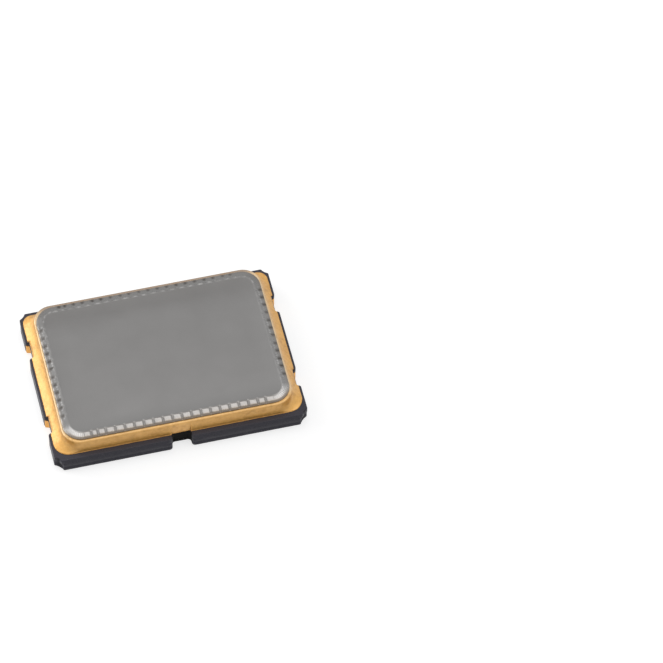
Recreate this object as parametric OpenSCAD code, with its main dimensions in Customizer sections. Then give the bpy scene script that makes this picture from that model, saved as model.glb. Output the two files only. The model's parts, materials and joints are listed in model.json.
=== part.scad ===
// Surface-mount crystal oscillator in a 7 x 5 mm seam-welded ceramic package.
// Millimetres, +Z up, long side along X. The origin is under the middle of the package, on the
// plane that its four solder pads stand on.

/* [Ceramic base] */
// Length of the ceramic base, along X
body_l = 7.0; // [5.8:0.1:9]
// Width of the ceramic base, along Y
body_w = 5.0; // [4.1:0.1:7]
// Thickness of the floor layer, under the die
floor_h = 0.15; // [0.1:0.01:0.3]
// Thickness of the middle layer, whose top is the bond ledge
middle_h = 0.15; // [0.14:0.01:0.3]
// Thickness of the top layer, whose top is the crystal shelf and the seal seat
top_h = 0.16; // [0.15:0.01:0.3]

/* [Hollows in the edges] */
// Radius of the hollow at each upright corner
corner_r = 0.43; // [0.35:0.01:0.5]
// Distance of that radius's centre outside both sides
corner_out = 0.17; // [0.12:0.01:0.2]
// Radius of the smaller hollow at each corner of the top layer
corner_top_r = 0.3; // [0.25:0.01:0.35]
// Distance of that radius's centre outside both sides
corner_top_out = 0.11; // [0.1:0.01:0.15]
// Rounding where a corner hollow meets the sides
corner_mouth_r = 0.04; // [0.01:0.01:0.06]
// Width of the slot in the middle of each long side
slot_w = 0.53; // [0.3:0.01:1]
// Depth of that slot
slot_depth = 0.23; // [0.2:0.01:0.3]
// Depth of the slot in the top layer
slot_top_depth = 0.19; // [0.19:0.01:0.25]
// Rounding in the floor of the slot
slot_floor_r = 0.09; // [0.02:0.01:0.1]
// Rounding where the slot meets the side
slot_mouth_r = 0.09; // [0.01:0.01:0.1]
// Radius of the plated half-round hollow at each solder pad, centred on the short side
contact_r = 0.28; // [0.2:0.01:0.34]
// Rounding where a plated hollow meets the short side
contact_mouth_r = 0.08; // [0.01:0.01:0.1]
// Width of the bare, shallow recess in the top layer above each plated hollow
recess_w = 0.53; // [0.4:0.01:0.7]
// Depth of that recess
recess_depth = 0.1; // [0.09:0.01:0.2]
// Rounding in the floor of the recess
recess_floor_r = 0.02; // [0.01:0.01:0.04]
// Rounding where the recess meets the short side
recess_mouth_r = 0.07; // [0.01:0.01:0.07]

/* [Solder terminals] */
// Distance between the two terminals on one short side, centre to centre
terminal_pitch = 2.54; // [2.1:0.02:3]
// Length of a solder pad, along X
pad_l = 1.17; // [0.7:0.01:1.3]
// Width of a solder pad, along Y
pad_w = 1.05; // [0.9:0.01:1.3]
// Height that a solder pad stands proud of the ceramic
pad_h = 0.02; // [0.01:0.005:0.05]
// Distance from a solder pad to the short side
pad_edge = 0.02; // [0.01:0.01:0.1]
// Rounding of a solder pad's inner corners
pad_corner_r = 0.05; // [0.02:0.01:0.2]
// Corner cut off the first terminal's pad, measured along each edge
pad_cut = 0.3; // [0.1:0.01:0.5]
// Thickness of the plating in the half-round hollows
plating_h = 0.015; // [0.01:0.005:0.03]
// Distance that the plating stops short of the short side
plating_stop = 0.03; // [0.02:0.01:0.08]

/* [Index mark] */
// Radius of the round mark on the underside
mark_r = 0.18; // [0.05:0.01:0.3]
// Distance from the solder pads' inner ends to the mark's centre, along X
mark_in = 0.54; // [0.4:0.01:0.8]
// Distance from the terminal's centre line to the mark's centre, along Y
mark_aside = 0.19; // [0:0.01:0.5]
// Thickness of the mark
mark_h = 0.01; // [0.005:0.005:0.01]

/* [Seal] */
// Bare ceramic between the seal metal and each short side
seal_edge_x = 0.063; // [0.03:0.001:0.15]
// Bare ceramic between the seal metal and each long side
seal_edge_y = 0.155; // [0.1:0.005:0.2]
// Corner radius of the seal metal
seal_corner_r = 0.42; // [0.35:0.01:0.8]
// Thickness of the seal metal
seal_h = 0.02; // [0.01:0.005:0.03]
// Bare ceramic between the seal metal and the hollows below it
seal_gap = 0.01; // [0.01:0.01:0.05]
// Seal metal that shows inside the ring
seal_lip = 0.03; // [0.01:0.01:0.1]
// Distance from the ring to each short side
ring_edge_x = 0.32; // [0.3:0.01:0.4]
// Distance from the ring to each long side
ring_edge_y = 0.2; // [0.19:0.005:0.3]
// Outer corner radius of the ring
ring_corner_r = 0.52; // [0.45:0.01:0.8]
// Wall of the ring
ring_wall = 0.35; // [0.25:0.01:0.4]
// Height of the ring
ring_h = 0.38; // [0.25:0.01:0.6]
// Rounding of the ring's top outer edge
ring_edge_r = 0.035; // [0.01:0.005:0.05]
// Thickness of the braze under the ring
braze_h = 0.02; // [0.01:0.005:0.04]
// Size of the braze fillet up the ring's outer wall
fillet_r = 0.12; // [0.04:0.01:0.2]
// Distance from the edge of the braze to the edge of the seal metal
braze_edge = 0.01; // [0.005:0.005:0.02]

/* [Lid] */
// Ring top that shows outside the lid, at the short sides
lid_edge_x = 0.05; // [0.02:0.01:0.1]
// Ring top that shows outside the lid, at the long sides
lid_edge_y = 0.07; // [0.02:0.005:0.1]
// Corner radius of the lid
lid_corner_r = 0.52; // [0.3:0.01:0.7]
// Thickness of the lid
lid_h = 0.1; // [0.07:0.01:0.2]
// Thickness that the seam weld leaves at the lid's edge
lid_rim_h = 0.045; // [0.02:0.005:0.06]
// Width of the sloping weld band round the lid
weld_w = 0.21; // [0.1:0.01:0.25]

/* [Oscillator die] */
// Length of the die, along X
die_l = 1.2; // [0.9:0.05:1.4]
// Width of the die, along Y
die_w = 1.0; // [0.9:0.05:1.2]
// Thickness of the die
die_h = 0.12; // [0.08:0.01:0.12]
// Thickness of the adhesive under the die
attach_h = 0.01; // [0.01:0.005:0.02]
// Distance that the adhesive shows round the die
attach_edge = 0.05; // [0.01:0.01:0.1]
// Distance between the die and the pocket's walls
die_gap = 0.2; // [0.15:0.01:0.3]
// Distance from the package's middle to the pocket's middle, away from the crystal's mount
pocket_shift = 0.35; // [0.2:0.01:0.4]
// Length of the bond ledge at each end of the pocket
ledge_l = 0.55; // [0.5:0.01:0.6]
// Width of the bond ledge at each side of the pocket
ledge_w = 0.5; // [0.3:0.01:0.6]
// Side of a square bond pad on the die
bond_pad = 0.09; // [0.08:0.01:0.12]
// Height of a bond pad
bond_pad_h = 0.005; // [0.005:0.001:0.01]
// Distance from a bond pad's centre to the die's end
bond_in = 0.09; // [0.08:0.01:0.15]

/* [Bond wires] */
// Radius of a bond wire
wire_r = 0.0125; // [0.01:0.0005:0.015]
// Rise of a wire's loop over its two ends
wire_rise = 0.09; // [0.06:0.005:0.1]
// Radius of the bond at each end of a wire
wire_foot_r = 0.035; // [0.03:0.005:0.04]
// Height of the bond at each end of a wire
wire_foot_h = 0.03; // [0.03:0.005:0.04]

/* [Conductors in the ceramic] */
// Thickness of the printed conductors
trace_h = 0.01; // [0.005:0.005:0.02]
// Width of the leads from the terminals
lead_w = 0.3; // [0.15:0.01:0.35]
// Width of the conductors to the crystal
trace_w = 0.2; // [0.1:0.01:0.25]
// Distance kept between a lead and a conductor to the crystal
trace_gap = 0.12; // [0.1:0.01:0.2]
// Length of the bond fingers, along X
finger_l = 0.3; // [0.2:0.01:0.4]
// Distance from the long axis to the crystal's bond fingers
crystal_finger_y = 0.2; // [0.15:0.01:0.22]
// Distance from the long axis to the leads' bond fingers
lead_finger_y = 0.6; // [0.56:0.01:0.7]
// Radius of an upright conductor through the top layer
via_r = 0.07; // [0.04:0.01:0.09]
// Distance from a plated hollow to the upright conductor that earths the lid
earth_via_in = 0.2; // [0.12:0.01:0.22]

/* [Crystal] */
// Distance from the crystal's ends to the ring's inner wall
blank_gap_x = 0.33; // [0.15:0.01:0.5]
// Distance from the crystal's sides to the ring's inner wall
blank_gap_y = 0.43; // [0.15:0.01:0.6]
// Thickness of the crystal
blank_h = 0.08; // [0.04:0.01:0.15]
// Thickness of the electrodes
electrode_h = 0.005; // [0.004:0.001:0.01]
// Bare crystal between an electrode and the crystal's ends
electrode_gap_x = 1.1; // [0.9:0.05:1.3]
// Bare crystal between an electrode and the crystal's sides
electrode_gap_y = 0.55; // [0.5:0.01:0.6]
// Corner radius of the electrodes
electrode_r = 0.12; // [0.05:0.01:0.2]
// Width of an electrode's tab
tab_w = 0.5; // [0.35:0.01:0.5]
// Length of a tab where it folds under the crystal
tab_l = 0.6; // [0.5:0.01:0.8]
// Length of the metal on the shelf under each adhesive dot, along X
shelf_pad_l = 0.6; // [0.5:0.01:0.8]
// Radius of an adhesive dot
dot_r = 0.22; // [0.15:0.01:0.24]
// Height of an adhesive dot
dot_h = 0.03; // [0.02:0.005:0.06]
// Distance from an adhesive dot's centre to the crystal's end
dot_in_x = 0.3; // [0.25:0.01:0.4]
// Distance from an adhesive dot's centre to the crystal's side
dot_in_y = 0.4; // [0.25:0.01:0.5]

/* [Hidden] */
$fn = 64;
// Length by which a cutter runs past what it cuts
over = 0.5;
black_ceramic = "#3d3c40";
gold = "#d9a55c";
nickel = "#8b8987";

// Heights of the layers, from the plane that the pads stand on
pocket_z = pad_h + floor_h;
ledge_z = pocket_z + middle_h;
shelf_z = ledge_z + top_h;
braze_z = shelf_z + seal_h;
ring_z = braze_z + braze_h;
lid_z = ring_z + ring_h;

// Half sizes of the outlines
seal_x = body_l / 2 - seal_edge_x;
seal_y = body_w / 2 - seal_edge_y;
ring_x = body_l / 2 - ring_edge_x;
ring_y = body_w / 2 - ring_edge_y;
bore_x = ring_x - ring_wall;
bore_y = ring_y - ring_wall;
bore_r = ring_corner_r - ring_wall;
lid_x = ring_x - lid_edge_x;
lid_y = ring_y - lid_edge_y;

// The stepped pocket for the die
pocket_l = die_l + 2 * die_gap;
pocket_w = die_w + 2 * die_gap;
open_l = pocket_l + 2 * ledge_l;
open_w = pocket_w + 2 * ledge_w;

// The die's bond pads, three bonds' worth at each end of the ledge
bond_z = pocket_z + attach_h + die_h;
bond_x = die_l / 2 - bond_in;
finger_x = pocket_l / 2 + ledge_l / 2;
crystal_bond_y = crystal_finger_y * 0.75;
lead_bond_y = die_w / 2 - bond_in;
// Each bond: its end of the die, its place across the die, and its finger's place across the ledge
BONDS = [
    [1, -lead_bond_y, -lead_finger_y],
    [1, lead_bond_y, lead_finger_y],
    [-1, lead_bond_y, lead_finger_y],
    [-1, -lead_bond_y, -lead_finger_y],
    [-1, crystal_bond_y, crystal_finger_y],
    [-1, -crystal_bond_y, -crystal_finger_y]
];

// The crystal, held at its end towards -X
blank_l = 2 * (bore_x - blank_gap_x);
blank_w = 2 * (bore_y - blank_gap_y);
blank_z = shelf_z + trace_h + dot_h + electrode_h;
dot_x = -blank_l / 2 + dot_in_x;
dot_y = blank_w / 2 - dot_in_y;
via_y = terminal_pitch / 2 - lead_w / 2 - trace_gap - trace_w / 2;

// Terminals, counter-clockwise from above: the side that each lies on along X and Y
TERMINALS = [[1, -1], [1, 1], [-1, 1], [-1, -1]];
earth_terminal = 1;

// ---- Outlines ----

// Rounded rectangle with half sizes x and y
module rounded(x, y, r) {
    square([2 * x, 2 * (y - r)], center = true);
    square([2 * (x - r), 2 * y], center = true);
    for (sx = [-1, 1], sy = [-1, 1])
        translate([sx * (x - r), sy * (y - r)])
            circle(r);
}

// Round hollow in an edge that runs along x = 0, with its centre that far outside the edge and
// its mouth rounded
module round_hollow(r, out, mouth_r) {
    mouth_y = sqrt(pow(r + mouth_r, 2) - pow(out + mouth_r, 2));
    touch_x = out - r * (out + mouth_r) / (r + mouth_r);
    translate([out, 0])
        circle(r);
    difference() {
        translate([touch_x, -mouth_y])
            square([over - touch_x, 2 * mouth_y]);
        for (side = [-1, 1])
            translate([-mouth_r, side * mouth_y])
                circle(mouth_r);
    }
}

// Flat-floored slot in an edge that runs along x = 0, with its mouth rounded
module slot(w, depth, floor_r, mouth_r) {
    translate([-depth, -w / 2 + floor_r])
        square([depth + over, w - 2 * floor_r]);
    translate([-depth + floor_r, -w / 2])
        square([depth - floor_r + over, w]);
    for (side = [-1, 1])
        translate([-depth + floor_r, side * (w / 2 - floor_r)])
            circle(floor_r);
    difference() {
        translate([-mouth_r, -w / 2 - mouth_r])
            square([mouth_r + over, w + 2 * mouth_r]);
        for (side = [-1, 1])
            translate([-mouth_r, side * (w / 2 + mouth_r)])
                circle(mouth_r);
    }
}

// Children placed on the short side at one terminal, facing outward along +X
module at_terminal(side) {
    translate([side.x * body_l / 2, side.y * terminal_pitch / 2])
        rotate(side.x > 0 ? 0 : 180)
            children();
}

module at_all_terminals() {
    for (side = TERMINALS)
        at_terminal(side)
            children();
}

// Slots of that depth in the middles of the two long sides, grown by a gap
module side_slots(depth, gap = 0) {
    for (side = [-1, 1])
        translate([0, side * body_w / 2])
            rotate(side * 90)
                slot(slot_w + 2 * gap, depth + gap, slot_floor_r, slot_mouth_r);
}

// Recesses above the plated hollows, grown by a gap
module recesses(gap = 0) {
    at_all_terminals()
        slot(recess_w + 2 * gap, recess_depth + gap, recess_floor_r, recess_mouth_r);
}

// Round hollow at each corner, with its centre that far outside both sides
module corner_hollows(r, out) {
    for (sx = [-1, 1], sy = [-1, 1])
        translate([sx * body_l / 2, sy * body_w / 2]) {
            rotate(sx > 0 ? 0 : 180)
                translate([0, sx * sy * out])
                    round_hollow(r, out, corner_mouth_r);
            rotate(sy * 90)
                translate([0, -sx * sy * out])
                    round_hollow(r, out, corner_mouth_r);
        }
}

// Footprint of the two lower layers, without the plated hollows
module footprint() {
    difference() {
        square([body_l, body_w], center = true);
        corner_hollows(corner_r, corner_out);
        side_slots(slot_depth);
    }
}

// Footprint of the top layer
module top_footprint() {
    difference() {
        square([body_l, body_w], center = true);
        corner_hollows(corner_top_r, corner_top_out);
        side_slots(slot_top_depth);
        recesses();
    }
}

// Outline of the seal metal, smaller by an inset all round
module seal_outline(inset = 0) {
    difference() {
        rounded(seal_x - inset, seal_y - inset, seal_corner_r - inset);
        side_slots(slot_top_depth, seal_gap + inset);
        recesses(seal_gap + inset);
    }
}

// A profile swept round a rounded rectangle with half sizes x and y: the profile's first axis
// points outward from the outline, and its second one up
module swept_round(x, y, r) {
    for (turn = [0 : 3]) {
        out = turn % 2 == 0 ? x : y;
        run = (turn % 2 == 0 ? y : x) - r;
        rotate(90 * turn) {
            translate([out, run, 0])
                rotate([90, 0, 0])
                    linear_extrude(2 * run)
                        children();
            translate([out - r, run, 0])
                rotate_extrude(angle = 90)
                    translate([r, 0])
                        children();
        }
    }
}

// ---- Conductors ----

// Lead from a terminal's plated hollow to its bond finger, with its top on the bond ledge
module lead_shape(side) {
    end_x = pocket_shift + side.x * finger_x;
    in_x = min(side.x * (end_x - side.x * finger_l / 2), body_l / 2);
    translate([0, 0, ledge_z - trace_h])
        linear_extrude(trace_h)
            difference() {
                union() {
                    translate([side.x > 0 ? in_x : -body_l / 2, side.y * terminal_pitch / 2 - lead_w / 2])
                        square([body_l / 2 - in_x, lead_w]);
                    translate([end_x - finger_l / 2, side.y > 0 ? lead_finger_y - trace_w / 2
                            : -terminal_pitch / 2 - lead_w / 2])
                        square([finger_l, terminal_pitch / 2 + lead_w / 2 - lead_finger_y + trace_w / 2]);
                }
                at_terminal(side)
                    round_hollow(contact_r, 0, contact_mouth_r);
            }
}

// Upright conductor from the earthed lead to the seal metal
module earth_via() {
    side = TERMINALS[earth_terminal];
    translate([side.x * (body_l / 2 - contact_r - earth_via_in), side.y * terminal_pitch / 2, ledge_z])
        cylinder(h = top_h, r = via_r);
}

// Conductor from a bond finger to the crystal's shelf, buried up to the shelf's top
module crystal_trace_buried(side) {
    finger_end = pocket_shift - finger_x + finger_l / 2;
    translate([0, 0, ledge_z - trace_h])
        linear_extrude(trace_h) {
            translate([dot_x - trace_w / 2, side * crystal_finger_y - trace_w / 2])
                square([finger_end - dot_x + trace_w / 2, trace_w]);
            translate([dot_x - trace_w / 2, side > 0 ? crystal_finger_y - trace_w / 2
                    : -via_y - trace_w / 2])
                square([trace_w, via_y - crystal_finger_y + trace_w]);
        }
    translate([dot_x, side * via_y, ledge_z])
        cylinder(h = top_h, r = via_r);
}

module crystal_trace(side) {
    low_y = min(via_y - trace_w / 2, dot_y - dot_r);
    high_y = max(via_y + trace_w / 2, dot_y + dot_r);
    crystal_trace_buried(side);
    translate([dot_x - shelf_pad_l / 2, side > 0 ? low_y : -high_y, shelf_z])
        cube([shelf_pad_l, high_y - low_y, trace_h]);
}

module lead(number) {
    color(gold) {
        lead_shape(TERMINALS[number]);
        if (number == earth_terminal)
            earth_via();
    }
}

// ---- Base and terminals ----

module ceramic_base() {
    color(black_ceramic)
        difference() {
            union() {
                translate([0, 0, pad_h])
                    linear_extrude(floor_h + middle_h)
                        difference() {
                            footprint();
                            at_all_terminals()
                                round_hollow(contact_r, 0, contact_mouth_r);
                        }
                translate([0, 0, ledge_z])
                    linear_extrude(top_h)
                        top_footprint();
            }
            translate([pocket_shift - pocket_l / 2, -pocket_w / 2, pocket_z])
                cube([pocket_l, pocket_w, middle_h + over]);
            translate([pocket_shift - open_l / 2, -open_w / 2, ledge_z])
                cube([open_l, open_w, top_h + over]);
            for (side = TERMINALS)
                lead_shape(side);
            earth_via();
            for (side = [-1, 1])
                crystal_trace_buried(side);
        }
}

// Surface of the plating inside a half-round hollow
module plated_hollow() {
    translate([plating_h, 0])
        round_hollow(contact_r - plating_h, -plating_h, contact_mouth_r + plating_h);
}

// Solder pad with its inner corners rounded, and one of them cut off if asked
module pad_outline(cut) {
    inner_x = -pad_edge - pad_l;
    difference() {
        union() {
            translate([inner_x + pad_corner_r, -pad_w / 2])
                square([pad_l - pad_corner_r, pad_w]);
            translate([inner_x, -pad_w / 2 + pad_corner_r])
                square([pad_l, pad_w - 2 * pad_corner_r]);
            for (side = [-1, 1])
                translate([inner_x + pad_corner_r, side * (pad_w / 2 - pad_corner_r)])
                    circle(pad_corner_r);
        }
        if (cut > 0)
            translate([inner_x, pad_w / 2])
                rotate(45)
                    square(cut * sqrt(2), center = true);
        plated_hollow();
    }
}

// Solder pad and the plating up its half-round hollow, in one piece
module terminal(number) {
    color(gold)
        at_terminal(TERMINALS[number]) {
            linear_extrude(pad_h)
                pad_outline(number == 0 ? pad_cut : 0);
            linear_extrude(ledge_z)
                difference() {
                    round_hollow(contact_r, 0, contact_mouth_r);
                    plated_hollow();
                    translate([-plating_stop, -body_w / 2])
                        square([over * 2, body_w]);
                }
        }
}

module index_mark() {
    color("#6a686b")
        translate([body_l / 2 - pad_edge - pad_l - mark_in, terminal_pitch / 2 - mark_aside, pad_h - mark_h])
            cylinder(h = mark_h, r = mark_r);
}

// ---- Seal ----

module seal_metal() {
    color(gold)
        translate([0, 0, shelf_z])
            linear_extrude(seal_h)
                difference() {
                    seal_outline();
                    rounded(bore_x - seal_lip, bore_y - seal_lip, bore_r);
                }
}

module braze_fillet() {
    color(gold) {
        translate([0, 0, braze_z])
            linear_extrude(braze_h)
                difference() {
                    seal_outline(braze_edge);
                    rounded(bore_x, bore_y, bore_r);
                }
        intersection() {
            translate([0, 0, ring_z])
                swept_round(ring_x, ring_y, ring_corner_r)
                    difference() {
                        square(fillet_r);
                        translate([fillet_r, fillet_r])
                            circle(fillet_r);
                    }
            translate([0, 0, braze_z])
                linear_extrude(braze_h + fillet_r)
                    seal_outline(braze_edge);
        }
    }
}

module seal_ring() {
    color(gold)
        translate([0, 0, ring_z])
            swept_round(ring_x, ring_y, ring_corner_r) {
                translate([-ring_wall, 0])
                    square([ring_wall - ring_edge_r, ring_h]);
                translate([-ring_edge_r, 0])
                    square([ring_edge_r, ring_h - ring_edge_r]);
                translate([-ring_edge_r, ring_h - ring_edge_r])
                    intersection() {
                        circle(ring_edge_r);
                        square(ring_edge_r);
                    }
            }
}

module lid() {
    color(nickel)
        translate([0, 0, lid_z]) {
            linear_extrude(lid_h)
                rounded(lid_x - weld_w, lid_y - weld_w, lid_corner_r - weld_w);
            swept_round(lid_x, lid_y, lid_corner_r)
                polygon([[-weld_w, 0], [0, 0], [0, lid_rim_h], [-weld_w, lid_h]]);
        }
}

// ---- Crystal ----

module crystal_blank() {
    color("#e8ecef")
        translate([-blank_l / 2, -blank_w / 2, blank_z])
            cube([blank_l, blank_w, blank_h]);
}

// Electrode and its tab, which runs along one side to the crystal's held end
module electrode(side) {
    electrode_x = blank_l / 2 - electrode_gap_x;
    linear_extrude(electrode_h) {
        rounded(electrode_x, blank_w / 2 - electrode_gap_y, electrode_r);
        translate([-blank_l / 2, side * dot_y - tab_w / 2])
            square([electrode_gap_x + tab_w, tab_w]);
    }
}

module electrode_bottom() {
    color("silver")
        translate([0, 0, blank_z - electrode_h])
            electrode(1);
}

// The top electrode's tab folds over the crystal's held end to reach its adhesive dot
module electrode_top() {
    color("silver") {
        translate([0, 0, blank_z + blank_h])
            electrode(-1);
        translate([-blank_l / 2 - electrode_h, -dot_y - tab_w / 2, blank_z - electrode_h])
            cube([electrode_h, tab_w, blank_h + 2 * electrode_h]);
        translate([-blank_l / 2, -dot_y - tab_w / 2, blank_z - electrode_h])
            cube([tab_l, tab_w, electrode_h]);
    }
}

module adhesive_dots() {
    color("#9a9a94")
        for (side = [-1, 1])
            translate([dot_x, side * dot_y, shelf_z + trace_h])
                cylinder(h = dot_h, r = dot_r);
}

// ---- Die ----

module oscillator_die() {
    color("#5b6670")
        translate([pocket_shift - die_l / 2, -die_w / 2, pocket_z + attach_h])
            cube([die_l, die_w, die_h]);
}

module die_attach() {
    color("#c8c8c4")
        translate([pocket_shift - die_l / 2 - attach_edge, -die_w / 2 - attach_edge, pocket_z])
            cube([die_l + 2 * attach_edge, die_w + 2 * attach_edge, attach_h]);
}

module die_bond_pads() {
    color("#d8d8d8")
        for (bond = BONDS)
            translate([pocket_shift + bond[0] * bond_x - bond_pad / 2, bond[1] - bond_pad / 2, bond_z])
                cube([bond_pad, bond_pad, bond_pad_h]);
}

// Wire bent to one arc between two points, with a foot under each end
module bond_wire(from, to) {
    span = norm(to - from);
    bend_r = (span * span / 4 + wire_rise * wire_rise) / (2 * wire_rise);
    half_turn = asin(span / 2 / bend_r);
    slope = asin((to.z - from.z) / span);
    heading = atan2(to.y - from.y, to.x - from.x);
    translate((from + to) / 2)
        rotate([0, -slope, heading])
            translate([0, 0, wire_rise - bend_r])
                rotate([90, 0, 0])
                    rotate(90 - half_turn)
                        rotate_extrude(angle = 2 * half_turn)
                            translate([bend_r, 0])
                                circle(wire_r);
    for (end = [from, to])
        translate(end - [0, 0, wire_foot_h / 2])
            cylinder(h = wire_foot_h, r = wire_foot_r);
}

module bond_wires() {
    color(gold)
        for (bond = BONDS)
            bond_wire(
                [pocket_shift + bond[0] * bond_x, bond[1], bond_z + bond_pad_h + wire_foot_h / 2],
                [pocket_shift + bond[0] * finger_x, bond[2], ledge_z + wire_foot_h / 2]
            );
}

// ---- Nodes ----

ceramic_base();
terminal(0);  // terminal_1
terminal(1);  // terminal_2
terminal(2);  // terminal_3
terminal(3);  // terminal_4
index_mark();
seal_metal();
braze_fillet();
seal_ring();
lid();
crystal_blank();
electrode_top();
electrode_bottom();
adhesive_dots();
crystal_trace(1);  // crystal_trace_a
crystal_trace(-1);  // crystal_trace_b
lead(0);  // lead_1
lead(1);  // lead_2
lead(2);  // lead_3
lead(3);  // lead_4
oscillator_die();
die_attach();
die_bond_pads();
bond_wires();
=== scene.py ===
"""Surface-mount crystal oscillator: finer meshes for the pieces that show, finishes, and a studio."""

import json
import math

import bmesh
import bpy
from mathutils import Matrix, Vector, noise

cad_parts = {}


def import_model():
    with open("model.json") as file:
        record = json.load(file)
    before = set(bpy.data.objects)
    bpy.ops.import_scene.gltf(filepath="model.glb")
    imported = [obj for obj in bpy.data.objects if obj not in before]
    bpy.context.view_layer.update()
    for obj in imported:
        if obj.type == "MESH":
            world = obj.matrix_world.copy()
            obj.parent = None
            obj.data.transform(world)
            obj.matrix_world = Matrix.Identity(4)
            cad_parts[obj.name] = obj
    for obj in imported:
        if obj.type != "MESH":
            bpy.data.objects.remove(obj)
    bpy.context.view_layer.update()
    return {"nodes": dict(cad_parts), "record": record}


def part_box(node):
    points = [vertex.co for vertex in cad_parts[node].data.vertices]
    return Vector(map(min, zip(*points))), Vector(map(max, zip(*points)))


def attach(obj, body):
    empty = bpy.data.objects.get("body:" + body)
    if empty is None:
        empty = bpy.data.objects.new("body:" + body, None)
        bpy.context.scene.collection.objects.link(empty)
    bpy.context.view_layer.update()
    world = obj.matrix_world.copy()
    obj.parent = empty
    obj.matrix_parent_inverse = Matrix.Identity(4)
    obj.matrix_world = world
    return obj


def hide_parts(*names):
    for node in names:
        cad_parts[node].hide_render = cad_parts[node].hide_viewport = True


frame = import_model()

MM = 0.001  # lengths below are in millimetres, and meshes are made in metres


# ---- Sizes: the frame's boxes, then what a box doesn't tell, the same as in the CAD ----


def low(node):
    """The lowest corner of a CAD node's box."""
    return [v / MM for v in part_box(node)[0]]


def high(node):
    """The highest corner of a CAD node's box."""
    return [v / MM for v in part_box(node)[1]]


BODY_X, BODY_Y, SHELF_Z = high("ceramic_base")
BASE_Z = low("ceramic_base")[2]
LEDGE_Z = high("terminal_2")[2]
SEAL_X, SEAL_Y, SEAL_TOP = high("seal_metal")
RING_X, RING_Y, RING_TOP = high("seal_ring")
RING_LOW = low("seal_ring")[2]
LID_X, LID_Y, LID_TOP = high("lid")
LID_LOW = low("lid")[2]
POCKET_LOW = low("die_attach")[2]  # the pocket's floor, which is the lowest layer's top

CORNER_R, CORNER_OUT = 0.43, 0.17
CORNER_TOP_R, CORNER_TOP_OUT = 0.3, 0.11
CORNER_MOUTH = 0.04
SLOT_W, SLOT_DEPTH, SLOT_TOP_DEPTH = 0.53, 0.23, 0.19
SLOT_FLOOR_R, SLOT_MOUTH = 0.09, 0.09
CONTACT_R, CONTACT_MOUTH = 0.28, 0.08
RECESS_W, RECESS_DEPTH, RECESS_FLOOR_R, RECESS_MOUTH = 0.53, 0.1, 0.02, 0.07
PITCH = 2.54
PAD_L, PAD_W, PAD_EDGE, PAD_CORNER, PAD_CUT = 1.17, 1.05, 0.02, 0.05, 0.3
PLATING, PLATING_STOP = 0.015, 0.006
SEAL_CORNER, SEAL_GAP = 0.42, 0.01
RING_CORNER, RING_WALL, RING_EDGE = 0.52, 0.35, 0.035
LID_CORNER, LID_RIM, WELD_W = 0.52, 0.045, 0.21
POCKET_X, POCKET = 0.35, (1.6, 1.4)
OPENING = (2.7, 2.4)

# The short side that each terminal is on, and towards which end of it
TERMINALS = {"terminal_1": (1, -1), "terminal_2": (1, 1), "terminal_3": (-1, 1), "terminal_4": (-1, -1)}
# Each side and the corner after it, counter-clockwise: the side's turn, and the corner's place
SIDES = ((-90, 1, -1), (0, 1, 1), (90, -1, 1), (180, -1, -1))


# ---- Outlines: lists of (x, y), counter-clockwise ----


def arc(cx, cy, r, start, end, steps):
    """Points on an arc between two angles in degrees, both ends included."""
    turns = [math.radians(start + (end - start) * i / steps) for i in range(steps + 1)]
    return [(cx + r * math.cos(a), cy + r * math.sin(a)) for a in turns]


def placed(points, x, y, turn):
    """Points turned by that many degrees, then moved."""
    c, s = math.cos(math.radians(turn)), math.sin(math.radians(turn))
    return [(x + c * px - s * py, y + s * px + c * py) for px, py in points]


def round_hollow(r, out, mouth, steps=13):
    """Round hollow in an edge along x = 0 that runs towards +y, with its mouth rounded."""
    mouth_y = math.sqrt((r + mouth) ** 2 - (out + mouth) ** 2)
    lean = math.degrees(math.atan2(mouth_y, out + mouth))
    return (
        arc(-mouth, -mouth_y, mouth, 0, lean, 5)
        + arc(out, 0, r, lean - 180, -180 - lean, steps)[1:-1]
        + arc(-mouth, mouth_y, mouth, -lean, 0, 5)
    )


def corner_hollow(r, out):
    """Round hollow in a corner at the origin, from the side along x = 0 to the one along y = 0."""
    m = CORNER_MOUTH
    mouth = math.sqrt((r + m) ** 2 - (m + out) ** 2) - out
    lean = math.degrees(math.atan2(mouth + out, m + out))
    return (
        arc(-m, -mouth, m, 0, lean, 4)
        + arc(out, out, r, lean - 180, -90 - lean, 11)[1:-1]
        + arc(-mouth, -m, m, 90 - lean, 90, 4)
    )


def slot(width, depth, floor_r, mouth):
    """Flat-floored slot in an edge along x = 0, towards +y, with as many points as a round hollow."""
    half = width / 2
    return (
        arc(-mouth, -half - mouth, mouth, 0, 90, 5)
        + arc(-depth + floor_r, -half + floor_r, floor_r, -90, -180, 5)
        + arc(-depth + floor_r, half - floor_r, floor_r, 180, 90, 5)
        + arc(-mouth, half + mouth, mouth, -90, 0, 5)
    )


def filled(outlines, step):
    """Closed outlines of equally many points, with their straights cut alike into that step or less."""
    out = [[] for _ in outlines]
    count = len(outlines[0])
    for i in range(count):
        ends = [(points[i], points[(i + 1) % count]) for points in outlines]
        longest = max(math.hypot(b[0] - a[0], b[1] - a[1]) for a, b in ends)
        pieces = max(1, math.ceil(longest / step))
        for points, (a, b) in zip(out, ends):
            for k in range(pieces):
                t = k / pieces
                points.append((a[0] + (b[0] - a[0]) * t, a[1] + (b[1] - a[1]) * t))
    return out


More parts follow.
